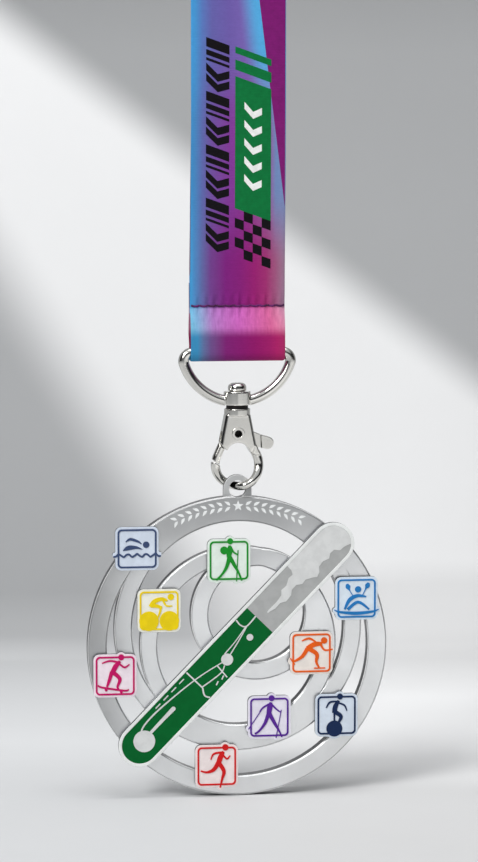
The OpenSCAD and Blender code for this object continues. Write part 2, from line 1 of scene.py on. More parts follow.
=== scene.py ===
import math
import bmesh
import bpy
import numpy as np
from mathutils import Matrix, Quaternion, Vector


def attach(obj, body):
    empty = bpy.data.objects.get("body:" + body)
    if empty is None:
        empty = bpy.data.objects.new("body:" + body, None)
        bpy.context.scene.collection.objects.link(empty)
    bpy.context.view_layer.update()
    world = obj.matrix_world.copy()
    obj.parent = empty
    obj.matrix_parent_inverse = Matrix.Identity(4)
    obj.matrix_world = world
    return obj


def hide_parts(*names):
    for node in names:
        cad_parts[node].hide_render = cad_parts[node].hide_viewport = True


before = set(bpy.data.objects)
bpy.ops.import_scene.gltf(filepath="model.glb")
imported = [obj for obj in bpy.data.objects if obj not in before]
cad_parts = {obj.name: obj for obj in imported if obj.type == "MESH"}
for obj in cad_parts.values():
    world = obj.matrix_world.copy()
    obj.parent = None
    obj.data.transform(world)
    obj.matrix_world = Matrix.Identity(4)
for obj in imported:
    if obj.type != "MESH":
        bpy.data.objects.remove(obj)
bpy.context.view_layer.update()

mm = 0.001
drop = 182.0  # mm from the hanging point down to the medal's centre
scene = bpy.context.scene


# small helpers

# sRGB 0-255 to a linear colour with alpha
def linear(rgb):
    out = []
    for c in rgb:
        c = c / 255
        out.append(c / 12.92 if c <= 0.04045 else ((c + 0.055) / 1.055) ** 2.4)
    return (*out, 1.0)


def at(h):
    return (h - drop) * mm  # height above the medal's centre in mm to metres


def newObject(name, mesh):
    obj = bpy.data.objects.new(name, mesh)
    scene.collection.objects.link(obj)
    return obj


def meshFrom(name, verts, faces):
    mesh = bpy.data.meshes.new(name)
    mesh.from_pydata([tuple(v) for v in verts], [], [tuple(int(i) for i in f) for f in faces])
    mesh.update()
    return newObject(name, mesh)


def outward(obj):
    bm = bmesh.new()
    bm.from_mesh(obj.data)
    bmesh.ops.recalc_face_normals(bm, faces=bm.faces)
    bm.to_mesh(obj.data)
    bm.free()


def shade(obj, angle=None):
    obj.data.shade_smooth()
    if angle is not None:
        obj.data.set_sharp_from_angle(angle=math.radians(angle))


def bake(obj):
    deps = bpy.context.evaluated_depsgraph_get()
    mesh = bpy.data.meshes.new_from_object(obj.evaluated_get(deps))
    obj.modifiers.clear()
    old = obj.data
    obj.data = mesh
    bpy.data.meshes.remove(old)
    mesh.name = obj.name


def cadCopy(name, part, flat=0.4):
    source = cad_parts[part].data
    bm = bmesh.new()
    bm.from_mesh(source)
    bmesh.ops.remove_doubles(bm, verts=bm.verts, dist=3e-6)
    bmesh.ops.dissolve_limit(bm, angle_limit=math.radians(flat), verts=bm.verts, edges=bm.edges)
    bmesh.ops.recalc_face_normals(bm, faces=bm.faces)
    mesh = bpy.data.meshes.new(name)
    bm.to_mesh(mesh)
    bm.free()
    for extra in [a.name for a in mesh.attributes if a.name == "custom_normal"]:
        mesh.attributes.remove(mesh.attributes[extra])
    mesh.materials.clear()
    return newObject(name, mesh)


# a copy of a CAD node with its edges rounded over
def rounded(name, part, width, segments=3, angle=35):
    obj = cadCopy(name, part)
    obj.data.shade_smooth()
    bevel = obj.modifiers.new("round", "BEVEL")
    bevel.width = width * mm
    bevel.segments = segments
    bevel.limit_method = "ANGLE"
    bevel.angle_limit = math.radians(angle)
    bevel.harden_normals = True
    bevel.miter_outer = "MITER_ARC"
    bake(obj)
    return obj


# a copy of a CAD node melted into one smooth casting
def cast(name, part, voxel, passes, keep):
    obj = cadCopy(name, part)
    melt = obj.modifiers.new("melt", "REMESH")
    melt.mode = "VOXEL"
    melt.voxel_size = voxel * mm
    melt.use_smooth_shade = True
    soft = obj.modifiers.new("soft", "SMOOTH")
    soft.factor = 0.5
    soft.iterations = passes
    thin = obj.modifiers.new("thin", "DECIMATE")
    thin.ratio = keep
    bake(obj)
    obj.data.shade_smooth()
    return obj


# turns a closed (radius, height) profile in mm about the upright axis
def lathe(name, profile, segments):
    verts, faces = [], []
    n = len(profile)
    for i in range(segments):
        a = 2 * math.pi * i / segments
        for r, h in profile:
            verts.append((r * math.cos(a) * mm, r * math.sin(a) * mm, at(h)))
    for i in range(segments):
        j = (i + 1) % segments
        for k in range(n):
            m = (k + 1) % n
            faces.append((i * n + k, j * n + k, j * n + m, i * n + m))
    obj = meshFrom(name, verts, faces)
    bm = bmesh.new()
    bm.from_mesh(obj.data)
    bmesh.ops.remove_doubles(bm, verts=bm.verts, dist=1e-7)
    bm.to_mesh(obj.data)
    bm.free()
    outward(obj)
    shade(obj, 50)
    return obj


# materials

def newMaterial(name):
    mat = bpy.data.materials.new(name)
    mat.use_nodes = True
    tree = mat.node_tree
    tree.nodes.clear()
    out = tree.nodes.new("ShaderNodeOutputMaterial")
    shader = tree.nodes.new("ShaderNodeBsdfPrincipled")
    tree.links.new(shader.outputs[0], out.inputs[0])
    return mat, tree, shader


def node(tree, kind, inputs=None, **props):
    n = tree.nodes.new(kind)
    for key, value in props.items():
        setattr(n, key, value)
    for key, value in (inputs or {}).items():
        if isinstance(value, bpy.types.NodeSocket):
            tree.links.new(value, n.inputs[key])
        else:
            n.inputs[key].default_value = value
    return n


def calc(tree, operation, a, b=0.0, c=0.0):
    return node(tree, "ShaderNodeMath", {0: a, 1: b, 2: c}, operation=operation).outputs[0]


def noise(tree, coords, scale, detail):
    inputs = {"Vector": coords, "Scale": scale, "Detail": detail}
    return node(tree, "ShaderNodeTexNoise", inputs).outputs["Fac"]


def ease(tree, value, low, high):
    return node(
        tree, "ShaderNodeMapRange", {"Value": value, "From Min": low, "From Max": high},
        interpolation_type="SMOOTHSTEP",
    ).outputs[0]


def blendColour(tree, factor, a, b, mode="MIX"):
    n = tree.nodes.new("ShaderNodeMix")
    n.data_type = "RGBA"
    n.blend_type = mode
    for socket, value in ((n.inputs[0], factor), (n.inputs[6], a), (n.inputs[7], b)):
        if isinstance(value, bpy.types.NodeSocket):
            tree.links.new(value, socket)
        else:
            socket.default_value = value
    return n.outputs[2]


def ramp(tree, value, stops):
    n = tree.nodes.new("ShaderNodeValToRGB")
    tree.links.new(value, n.inputs[0])
    bar = n.color_ramp
    while len(bar.elements) < len(stops):
        bar.elements.new(0.5)
    for element, (where, rgb) in zip(bar.elements, stops):
        element.position = where
        element.color = linear(rgb)
    return n.outputs[0]


def grey(tree, value):
    return node(tree, "ShaderNodeCombineColor", {0: value, 1: value, 2: value}).outputs[0]


def scaled(tree, coords, scale):
    return node(tree, "ShaderNodeMapping", {"Vector": coords, "Scale": scale}).outputs[0]


def dotted(tree, coords, direction):
    inputs = {0: coords, 1: tuple(direction)}
    return node(tree, "ShaderNodeVectorMath", inputs, operation="DOT_PRODUCT").outputs["Value"]


def plainCoords(tree):
    return node(tree, "ShaderNodeTexCoord").outputs["Object"]


# signed distance to the outline of the rings, below zero inside
def inwards(tree, coords, rings):
    x, y, z = node(tree, "ShaderNodeSeparateXYZ", {0: coords}).outputs
    nearest = None
    for cx, ch, outer, inner in rings:
        dx = calc(tree, "SUBTRACT", x, cx * mm)
        dz = calc(tree, "SUBTRACT", z, at(ch))
        squares = calc(tree, "ADD", calc(tree, "MULTIPLY", dx, dx), calc(tree, "MULTIPLY", dz, dz))
        r = calc(tree, "SQRT", squares)
        outside = calc(tree, "SUBTRACT", r, outer * mm)
        d = calc(tree, "MAXIMUM", outside, calc(tree, "SUBTRACT", inner * mm, r))
        nearest = calc(tree, "MINIMUM", nearest, d) if nearest else d
    return nearest


# a plated metal with mottled roughness, fine grain and faint scratches
# the painted shading is given as (middle height, tint at the top, at the left, elsewhere): painted shade
# darkens the top and the left, painted reflection lightens the rest
def metal(name, tint, rough, spread, grain, wear, lines=0.0, fade=None, full=1.0, rings=()):
    mat, tree, shader = newMaterial(name)
    coords = plainCoords(tree)
    broad = noise(tree, coords, 90.0, 3.0)
    fine = noise(tree, coords, 2600.0, 2.0)
    stretched = scaled(tree, coords, (260, 260, 4200))
    streaks = noise(tree, stretched, 1.0, 2.0)
    scratch = ease(tree, streaks, 0.66, 0.72)
    dull = node(tree, "ShaderNodeMapRange", {"Value": broad, "From Min": 0.3, "From Max": 0.7,
                                             "To Min": rough - spread, "To Max": rough + spread}).outputs[0]
    roughness = calc(tree, "ADD", dull, calc(tree, "MULTIPLY", scratch, wear))
    tree.links.new(roughness, shader.inputs["Roughness"])
    shade2 = tuple(c * 0.97 for c in tint)
    colour = blendColour(tree, ease(tree, broad, 0.35, 0.65), linear(tint), linear(shade2))
    # painted shade and reflection: darker towards the top and the left, lighter elsewhere
    if fade:
        x, y, z = node(tree, "ShaderNodeSeparateXYZ", {0: coords}).outputs
        middle, top, left, plain = fade
        shadeLevel = calc(tree, "MULTIPLY_ADD", ease(tree, z, middle + 0.040, middle + 0.012), plain - top, top)
        leftShade = calc(tree, "MULTIPLY_ADD", ease(tree, x, -0.040, -0.022), 1 - left, left)
        shadeLevel = calc(tree, "MULTIPLY", shadeLevel, leftShade)
        colour = blendColour(tree, 1.0, colour, grey(tree, shadeLevel), "MULTIPLY")
    tree.links.new(colour, shader.inputs["Base Color"])
    shader.inputs["Metallic"].default_value = full
    height = calc(tree, "ADD", calc(tree, "MULTIPLY", fine, grain), calc(tree, "MULTIPLY", streaks, lines))
    bump = node(tree, "ShaderNodeBump", {"Height": height, "Strength": 0.35, "Distance": 0.00002})
    if rings:  # rolled edges along the outline
        rim = ease(tree, inwards(tree, coords, rings), -0.00045, -0.00003)
        sunk = calc(tree, "MULTIPLY", rim, -0.00035)
        rolled = {"Height": sunk, "Strength": 1.0, "Distance": 1.0, "Normal": bump.outputs[0]}
        bump = node(tree, "ShaderNodeBump", rolled)
        # the rims are also made nearly non-metallic so they light up white: a painted highlight on the rolled
        # edges
        tree.links.new(calc(tree, "MULTIPLY_ADD", rim, -0.75, 1.0), shader.inputs["Metallic"])
    tree.links.new(bump.outputs[0], shader.inputs["Normal"])
    return mat


# enamel, paint or printing ink: one colour with slight mottling and a faint orange peel
def lacquer(name, rgb, rough=0.4, coat=0.06, mottling=0.018, peel=1.0, gloss=0.3):
    mat, tree, shader = newMaterial(name)
    coords = plainCoords(tree)
    broad = noise(tree, coords, 480.0, 4.0)
    fine = noise(tree, coords, 1800.0, 2.0)
    light = tuple(min(255, c * (1 + mottling) + 1) for c in rgb)
    deep = tuple(c * (1 - mottling) for c in rgb)
    colour = blendColour(tree, ease(tree, broad, 0.35, 0.65), linear(deep), linear(light))
    tree.links.new(colour, shader.inputs["Base Color"])
    dull = node(tree, "ShaderNodeMapRange", {"Value": broad, "From Min": 0.3, "From Max": 0.7,
                                             "To Min": rough - 0.05, "To Max": rough + 0.07}).outputs[0]
    tree.links.new(dull, shader.inputs["Roughness"])
    shader.inputs["Coat Weight"].default_value = coat
    shader.inputs["Specular IOR Level"].default_value = gloss
    shader.inputs["Coat Roughness"].default_value = 0.12
    bump = node(tree, "ShaderNodeBump", {"Height": fine, "Strength": 0.25, "Distance": 0.00001 * peel})
    tree.links.new(bump.outputs[0], shader.inputs["Normal"])
    return mat


ribbonLook = {
    "blueEdge": (66, 152, 212),
    "rib": 0.00042,       # spacing of the weave's ribs, m
    "ribDepth": 0.00003,
    "sheen": 0.02,
    "gloss": 0.1,
    "roughness": 0.6,
}


# fine crosswise ribs broken up by the warp threads
def weave(tree, shader, pattern, depth):
    coords = plainCoords(tree)
    parts = node(tree, "ShaderNodeSeparateXYZ", {0: coords})
    x, y, z = parts.outputs
    turn = 2 * math.pi / pattern
    weft = calc(tree, "SINE", calc(tree, "MULTIPLY", z, turn))
    warp = calc(tree, "SINE", calc(tree, "MULTIPLY", x, turn * 1.3))
    both = calc(tree, "ADD", calc(tree, "MULTIPLY", weft, 0.7), calc(tree, "MULTIPLY", warp, 0.5))
    fuzz = noise(tree, coords, 3500.0, 2.0)
    height = calc(tree, "ADD", both, calc(tree, "MULTIPLY", fuzz, 0.9))
    bump = node(tree, "ShaderNodeBump", {"Height": height, "Strength": 0.6, "Distance": depth})
    tree.links.new(bump.outputs[0], shader.inputs["Normal"])
    shader.inputs["Roughness"].default_value = ribbonLook["roughness"]
    shader.inputs["Sheen Weight"].default_value = ribbonLook["sheen"]
    shader.inputs["Sheen Roughness"].default_value = 0.4
    shader.inputs["Specular IOR Level"].default_value = ribbonLook["gloss"]
    return x, y, z


def ribbonPrint():
    mat, tree, shader = newMaterial("satinRibbon")
    x, y, z = weave(tree, shader, ribbonLook["rib"], ribbonLook["ribDepth"])
    behind = calc(tree, "GREATER_THAN", y, 0.0002)  # the layers behind show the print the other way round
    x = calc(tree, "MULTIPLY", x, calc(tree, "MULTIPLY_ADD", behind, -2.0, 1.0))
    u = node(tree, "ShaderNodeMapRange", {"Value": x, "From Min": -0.0125, "From Max": 0.0125}).outputs[0]
    h = calc(tree, "MULTIPLY_ADD", z, 1000.0, drop)
    blue = ribbonLook["blueEdge"]
    top = ramp(tree, u, [
        (0.0, blue), (0.05, (70, 145, 203)), (0.12, (88, 118, 184)), (0.22, (100, 96, 166)),
        (0.40, (108, 90, 165)), (0.55, (118, 96, 172)), (1.0, (112, 110, 180))])
    middle = ramp(tree, u, [
        (0.0, (60, 140, 196)), (0.05, (72, 132, 188)), (0.12, (92, 104, 168)), (0.22, (112, 78, 156)),
        (0.40, (128, 58, 150)), (0.60, (140, 52, 140)), (0.84, (140, 100, 160)), (0.9, (112, 136, 184)),
        (1.0, (118, 140, 186))])
    low = ramp(tree, u, [
        (0.0, (64, 150, 205)), (0.05, (80, 134, 190)), (0.12, (96, 104, 162)), (0.21, (112, 64, 138)),
        (0.37, (124, 32, 122)), (0.53, (134, 30, 118)), (0.68, (150, 30, 110)), (0.80, (158, 46, 110)),
        (0.90, (158, 84, 124)), (1.0, (152, 120, 144))])
    # colour where the strap turns round the bar, darker and deeper: partly the print, partly painted shade
    # where the cloth faces down
    fold = ramp(tree, u, [
        (0.0, (55, 134, 180)), (0.07, (58, 138, 183)), (0.13, (92, 110, 155)), (0.21, (106, 77, 134)),
        (0.37, (124, 31, 112)), (0.53, (132, 24, 107)), (0.68, (142, 20, 101)), (0.84, (156, 27, 100)),
        (0.92, (170, 32, 100)), (1.0, (166, 44, 96))])
    edge = calc(tree, "SUBTRACT", calc(tree, "MULTIPLY_ADD", calc(tree, "SUBTRACT", 172.0, h), 0.131, 5.1),
                calc(tree, "MULTIPLY", x, 1000.0))
    near = ease(tree, edge, 6.0, 0.6)
    above = ease(tree, h, 112.0, 128.0)
    top = blendColour(tree, calc(tree, "MULTIPLY", near, above), top, linear((84, 168, 220)))
    colour = blendColour(tree, ease(tree, h, 158.0, 134.0), top, middle)
    colour = blendColour(tree, ease(tree, h, 122.0, 100.0), colour, low)
    colour = blendColour(tree, ease(tree, h, 91.0, 83.0), colour, fold)
    # painted sheen: a lighter, more saturated band just below the seam, where the satin bulges and catches
    # the light, mixed into the print's colour
    paintedSheen = ramp(tree, u, [
        (0.0, (170, 240, 255)), (0.12, (200, 214, 255)), (0.24, (238, 168, 250)), (0.5, (255, 142, 240)),
        (0.85, (255, 136, 186)), (1.0, (252, 176, 206))])
    strands = scaled(tree, plainCoords(tree), (2200, 2200, 160))
    strands = noise(tree, strands, 1.0, 2.0)
    sheenAmount = calc(tree, "MULTIPLY", ease(tree, h, 90.2, 89.4), ease(tree, h, 81.8, 85.0))
    sheenAmount = calc(tree, "MULTIPLY", sheenAmount, calc(tree, "MULTIPLY_ADD", u, 0.14, 0.34))
    sheenAmount = calc(tree, "MULTIPLY", sheenAmount, calc(tree, "MULTIPLY_ADD", strands, 0.8, 0.6))
    colour = blendColour(tree, sheenAmount, colour, paintedSheen)
    grain = noise(tree, plainCoords(tree), 900.0, 3.0)
    grain = calc(tree, "MULTIPLY_ADD", grain, 0.16, 0.92)
    # the layers behind the front strap are also painted 40% darker: painted shade
    grain = calc(tree, "MULTIPLY", grain, calc(tree, "MULTIPLY_ADD", behind, -0.4, 1.0))
    colour = blendColour(tree, 1.0, colour, grey(tree, grain), "MULTIPLY")
    tree.links.new(colour, shader.inputs["Base Color"])
    return mat


def ribbonInk(name, rgb):
    mat, tree, shader = newMaterial(name)
    weave(tree, shader, ribbonLook["rib"], ribbonLook["ribDepth"] * 0.8)
    coords = plainCoords(tree)
    broad = noise(tree, coords, 700.0, 3.0)
    deep, light = tuple(c * 0.88 for c in rgb), tuple(min(255, c * 1.08 + 2) for c in rgb)
    tree.links.new(blendColour(tree, broad, linear(deep), linear(light)), shader.inputs["Base Color"])
    return mat


satinRibbon = ribbonPrint()
wedgeInk = ribbonInk("ribbonWedgeInk", (122, 24, 108))
blackInk = ribbonInk("ribbonBlackInk", (14, 10, 16))
greenInk = ribbonInk("ribbonGreenInk", (8, 112, 56))
whiteInk = ribbonInk("ribbonWhiteInk", (238, 242, 236))
threadLook = lacquer("sewingThread", (74, 16, 74), rough=0.6, coat=0.0, mottling=0.3, peel=3, gloss=0.3)
brightNickel = metal("brightNickel", (226, 224, 218), 0.13, 0.04, 0.25, 0.10)
paintedBoreShade = metal("paintedBoreShade", (52, 50, 50), 0.5, 0.05, 0.5, 0.1)
springSteel = metal("springSteel", (190, 190, 188), 0.28, 0.06, 0.4, 0.1)
nestedRings = ((0, 0, 40, 34.9), (0.1, 5, 33, 28.3), (0.1, 0.5, 26.2, 21.6), (5, 8.4, 17.6, 12.85))
# the silver is painted darker at the top and left and lighter lower down and to the right, standing in for
# the shade and reflections that fall on it
satinSilver = metal("satinSilver", (241, 242, 242), 0.34, 0.02, 0.8, 0.04, lines=0.5,
                    fade=(-0.182, 0.6, 0.55, 1.1), rings=nestedRings)
# a dark copy of the silver for the walls: painted shade
shadedSilverWall = metal("shadedSilverWall", (50, 52, 54), 0.30, 0.04, 0.8, 0.05, lines=0.6)
# a near-white, hardly metallic copy of the silver for the rounded edges, so that they light up: painted
# highlight
highlightSilverEdge = metal("highlightSilverEdge", (254, 254, 254), 0.4, 0.03, 0.4, 0.05, full=0.05)
# dark grey for the side walls of the badges and the bar: painted shade that outlines the white plates
badgeWall = metal("badgeWall", (112, 114, 118), 0.35, 0.04, 0.5, 0.05)
whitePrint = lacquer("whitePrint", (236, 238, 237))
whiteEnamel = lacquer("whiteEnamel", (230, 232, 230))
greenEnamel = lacquer("greenEnamel", (0, 94, 40), coat=0.02, gloss=0.08)
greyEnamel = lacquer("greyEnamel", (168, 169, 168))
paleEnamel = lacquer("paleEnamel", (211, 212, 211))
badgeLooks = {  # sport: colour of the print, colour of the plate
    "swimmer": ((56, 72, 108), (208, 218, 232)),
    "cyclist": ((232, 204, 0), (232, 232, 222)),
    "hiker": ((16, 138, 34), (222, 234, 224)),
    "rower": ((28, 116, 182), (214, 226, 236)),
    "skater": ((226, 90, 8), (234, 226, 218)),
    "skateboarder": ((190, 0, 94), (236, 222, 230)),
    "nordic_walker": ((84, 32, 142), (228, 224, 236)),
    "unicyclist": ((8, 34, 74), (210, 220, 232)),
    "runner": ((204, 18, 20), (236, 224, 222)),
}
print("materials made")


def setLook(nodeName, mat):
    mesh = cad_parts[nodeName].data
    mesh.materials.clear()
    mesh.materials.append(mat)


def wear(obj, mat, body, replaced=(), slot=None):
    obj.data.materials.clear()
    obj.data.materials.append(mat)
    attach(obj, body)
    if replaced:
        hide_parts(*replaced)
    return obj


# the ribbon

ribbon = {
    "width": 25.0,
    "thickness": 0.62,
    "columns": 66,
    "puckerDepth": 0.28,    # how far the cloth gathers at the stitches
    "puckerPitch": 2.25,
    "cupping": 0.22,        # the edges lie this far behind the middle
    "slip": 0.2,            # the layers behind sit this far to the left at the seam
    "seam": 90.3,           # heights above the medal's centre
    "bar": 77.9,
    "top": 179.4,
    "lean": 0.85,           # the back strap stands this far to the right at the top
    "topFold": 3.0,         # radii of the two folds
    "barFold": 1.95,
}


# centreline of the strip as (y, h) points from the tail's end to the end hidden in the seam
def ribbonPath():
    seam, bar, top = ribbon["seam"], ribbon["bar"], ribbon["top"]
    loop, turn = ribbon["topFold"], ribbon["barFold"]
    points = [(0.82, seam + 6.0), (0.82, seam + 2), (0.8, seam), (0.98, seam - 2.4), (1.6, seam - 6.4)]
    points.append((turn, bar + 1.2))
    for i in range(13):
        a = math.pi * i / 12
        points.append((turn * math.cos(a), bar - turn * math.sin(a)))
    points += [(-turn, bar + 1.2), (-1.75, seam - 6.4), (-1.0, seam - 2.2), (-0.8, seam), (-0.9, seam + 3)]
    for i in range(1, 12):
        t = i / 12
        points.append((-0.9 - t * (loop - 0.9), seam + 3 + t * (top - seam - 3)))
    for i in range(17):
        a = math.pi * i / 16
        points.append((-loop * math.cos(a), top + loop * math.sin(a) * 0.92))
    for i in range(1, 12):
        t = i / 12
        points.append((loop - t * (loop - 0.25), top - t * (top - seam - 4)))
    points += [(0.05, seam + 2.2), (0.0, seam), (0.0, seam - 2.0)]
    return points


# Catmull-Rom through the points, then even spacing: fine near the seam and the fold
def smoothPath(points, step):
    p = np.array([points[0], *points, points[-1]], float)
    fine = []
    for i in range(1, len(p) - 2):
        for t in np.linspace(0, 1, 24, endpoint=False):
            a, b, c, d = p[i - 1], p[i], p[i + 1], p[i + 2]
            bend = (2 * a - 5 * b + 4 * c - d) * t * t + (3 * b - a - 3 * c + d) * t ** 3
            fine.append(0.5 * (2 * b + (c - a) * t + bend))
    fine.append(p[-2])
    fine = np.array(fine)
    length = np.concatenate([[0], np.cumsum(np.linalg.norm(np.diff(fine, axis=0), axis=1))])
    out, s = [], 0.0
    while s < length[-1]:
        q = [np.interp(s, length, fine[:, k]) for k in (0, 1)]
        out.append(q)
        s += step if q[1] > 98 else step * 0.34
    out.append(list(fine[-1]))
    return np.array(out), length[-1]


# depth of the gathers beside the seam, mm
def pucker(x, h):
    away = abs(h - ribbon["seam"])
    phase = 2 * math.pi * x / ribbon["puckerPitch"]
    fold = math.cos(phase + 0.5 * math.sin(x * 1.7)) * (0.75 + 0.25 * math.sin(x * 0.9 + 1))
    return ribbon["puckerDepth"] * fold * math.exp(-((away - 1.3) / 1.5) ** 2) * (1 if away > 0.2 else 0.6)


def within(value):
    return min(1.0, max(0.0, value))


# how far the strip bows backwards at this x, with a slow wave along it, mm
def cup(x, h):
    free = within((h - 94) / 20)
    return free * (ribbon["cupping"] * (x / 12.5) ** 2 + 0.10 * math.sin(h / 13.0 + x * 0.08))


path, ribbonLength = smoothPath(ribbonPath(), 1.1)
tangent = np.gradient(path, axis=0)
tangent /= np.linalg.norm(tangent, axis=1)[:, None]
normal = np.stack([-tangent[:, 1], tangent[:, 0]], 1)  # (y, h) pointing to the strip's outer side
half = ribbon["thickness"] / 2
across = np.linspace(-ribbon["width"] / 2, ribbon["width"] / 2, ribbon["columns"])


# one surface point of the strip, on its outer (1) or inner (-1) side
def ribbonPoint(i, x, side):
    y, h = path[i]
    behind = within((y + 0.6) / 1.4)
    x -= ribbon["slip"] * behind * min(within((110 - h) / 15), within((h - 80) / 3))
    x += ribbon["lean"] * within((y + ribbon["topFold"]) / 6) * within((h - 100) / 40)
    ny, nh = normal[i]
    dent = 0.16 * math.exp(-((h - ribbon["seam"]) / 0.45) ** 2) if abs(y) > 0.5 else 0.0
    edge = min(1.0, (ribbon["width"] / 2 - abs(x)) / 0.25)
    swell = half * (0.55 + 0.45 * math.sqrt(max(0.0, edge))) - dent * 0.5
    bulge = pucker(x, h) if abs(y) > 0.5 and h < 97 else 0.0
    off = side * swell + bulge
    return (x * mm, (y + ny * off + cup(x, h)) * mm, at(h + nh * off))


verts, faces = [], []
rows, cols = len(path), len(across)
for side in (1, -1):
    for i in range(rows):
        for x in across:
            verts.append(ribbonPoint(i, x, side))
layer = rows * cols
for i in range(rows - 1):
    for j in range(cols - 1):
        a = i * cols + j
        faces.append((a, a + 1, a + cols + 1, a + cols))
        b = layer + a
        faces.append((b, b + cols, b + cols + 1, b + 1))
    for j in (0, cols - 1):
        a = i * cols + j
        faces.append((a, a + cols, layer + a + cols, layer + a))
for i in (0, rows - 1):
    for j in range(cols - 1):
        a = i * cols + j
        faces.append((a, a + 1, layer + a + 1, layer + a))
ribbonStrap = meshFrom("ribbonStrap", verts, faces)
outward(ribbonStrap)
shade(ribbonStrap, 60)
wear(ribbonStrap, satinRibbon, "ribbon", ["neck_ribbon"], "satin_ribbon")
print("ribbon", round(ribbonLength, 1), "mm long,", len(faces), "faces")


# front surface of the front strap at this x and height, mm
def strapY(x, h):
    front = [(p[1], p[0]) for p in path if p[0] < -0.5 and 92 < p[1] < 179]
    hs, ys = zip(*sorted(front))
    return np.interp(h, hs, ys) - half + cup(x, h)


# thin printed patches lying on the front strap. shapes are lists of (x, h) corners in mm
def printed(name, shapes, mat, lift=0.025, deep=0.05):
    bm = bmesh.new()
    for shape in shapes:
        bm.faces.new([bm.verts.new((x, 0, h)) for x, h in shape])
    bmesh.ops.triangulate(bm, faces=[f for f in bm.faces if len(f.verts) > 4])
    for axis, step, low, high in (((1, 0, 0), 1.5, -12.5, 12.5), ((0, 0, 1), 3.0, 93, 180)):
        for cut in np.arange(low, high, step):
            place = (cut, 0, 0) if axis[0] else (0, 0, cut)
            bmesh.ops.bisect_plane(bm, geom=[*bm.verts, *bm.edges, *bm.faces], plane_co=place, plane_no=axis)
    bmesh.ops.remove_doubles(bm, verts=bm.verts, dist=1e-4)
    for v in bm.verts:
        x, h = v.co.x, v.co.z
        v.co = (x * mm, (strapY(x, h) - lift) * mm, at(h))
    bm.normal_update()
    for f in bm.faces:
        if f.normal.y > 0:
            f.normal_flip()
    mesh = bpy.data.meshes.new(name)
    bm.to_mesh(mesh)
    bm.free()
    obj = newObject(name, mesh)
    thick = obj.modifiers.new("thick", "SOLIDIFY")
    thick.thickness = deep * mm
    thick.offset = -1
    bake(obj)
    shade(obj, 40)
    return wear(obj, mat, "ribbon")


ribbonArt = {
    "slant": 0.36,        # the slanted ends fall this much per mm to the right
    "wedgeTop": 4.25,      # x of the wedge's edge at the top
    "wedgeFall": 0.131,
    "panel": (-0.84, 8.66, 150.3, 115.9),
    "stripes": ((158.0, 156.3), (154.6, 152.0)),
    "check": 2.375,
    "checkRows": 5,
    "checkDrop": 2.5,
    "band": (-8.5, -2.4),  # left and right edge of the black band
    "bandTop": 160.4,
    "bandGroups": 4,
    "bandGap": 0.7,
    "bars": (2.4, 1.4, 0.7),
    "arrow": 2.0,          # thickness of an arrowhead's strokes
    "arrowDip": 1.9,
    "chevrons": 5,
    "chevronTop": 143.6,
    "chevronStep": 4.7,
}


def slanted(left, right, high, low):
    fall = (right - left) * ribbonArt["slant"]
    return [(left, high), (right, high - fall), (right, low - fall), (left, low)]


edge = ribbon["width"] / 2
wedgeHigh = ribbon["top"] - 0.1
wedgeLow = wedgeHigh - (edge - ribbonArt["wedgeTop"]) / ribbonArt["wedgeFall"]
wedge = [(ribbonArt["wedgeTop"], wedgeHigh), (edge - 0.12, wedgeHigh), (edge - 0.12, wedgeLow)]
ribbonWedge = printed("ribbonWedge", [wedge], wedgeInk, lift=0.012, deep=0.03)
left, right, high, low = ribbonArt["panel"]
greenShapes = [slanted(left, right, a, b) for a, b in ((high, low), *ribbonArt["stripes"])]
ribbonPanel = printed("ribbonPanel", greenShapes, greenInk, lift=0.03)

checks = []
for row in range(ribbonArt["checkRows"]):
    for col in range(4):
        if (row + col) % 2 == 0:
            continue
        a, b = left + col * ribbonArt["check"], left + (col + 1) * ribbonArt["check"]
        corner = low - row * ribbonArt["checkDrop"] - (a - left) * ribbonArt["slant"]
        checks.append(slanted(a, b, corner, corner - ribbonArt["checkDrop"]))

band = []
bandLeft, bandRight = ribbonArt["band"]
middle = (bandLeft + bandRight) / 2
fall = (bandRight - bandLeft) * ribbonArt["slant"]
cursor = ribbonArt["bandTop"]
for _ in range(ribbonArt["bandGroups"]):
    for thick in ribbonArt["bars"]:
        band.append(slanted(bandLeft, bandRight, cursor, cursor - thick))
        cursor -= thick + ribbonArt["bandGap"]
    for _ in range(2):  # two arrowheads pointing down
        thick = ribbonArt["arrow"]
        low = cursor - fall
        tip = cursor - fall / 2 - ribbonArt["arrowDip"]
        band.append([(bandLeft, cursor), (middle, tip), (middle, tip - thick), (bandLeft, cursor - thick)])
        band.append([(middle, tip), (bandRight, low), (bandRight, low - thick), (middle, tip - thick)])
        cursor -= thick + ribbonArt["bandGap"]
    cursor -= ribbonArt["arrowDip"]
ribbonMarks = printed("ribbonMarks", checks + band, blackInk, lift=0.036)

marks = []
for k in range(ribbonArt["chevrons"]):
    h = ribbonArt["chevronTop"] - k * ribbonArt["chevronStep"]
    marks.append([(1.6, h), (3.9, h - 2.6), (3.9, h - 4.4), (1.6, h - 1.8)])
    marks.append([(3.9, h - 2.6), (6.2, h - 1.6), (6.2, h - 3.4), (3.9, h - 4.4)])
ribbonChevrons = printed("ribbonChevrons", marks, whiteInk, lift=0.06)
print("ribbon prints made")

# stitches

seam = {
    "count": 11, "pitch": 2.25, "length": 2.05,
    "thread": 0.27,         # radius
    "rise": 0.2, "sag": 0.55, "standOff": 1.12,
    "above": 0.15,          # the stitches' ends lie this far above the seam
}


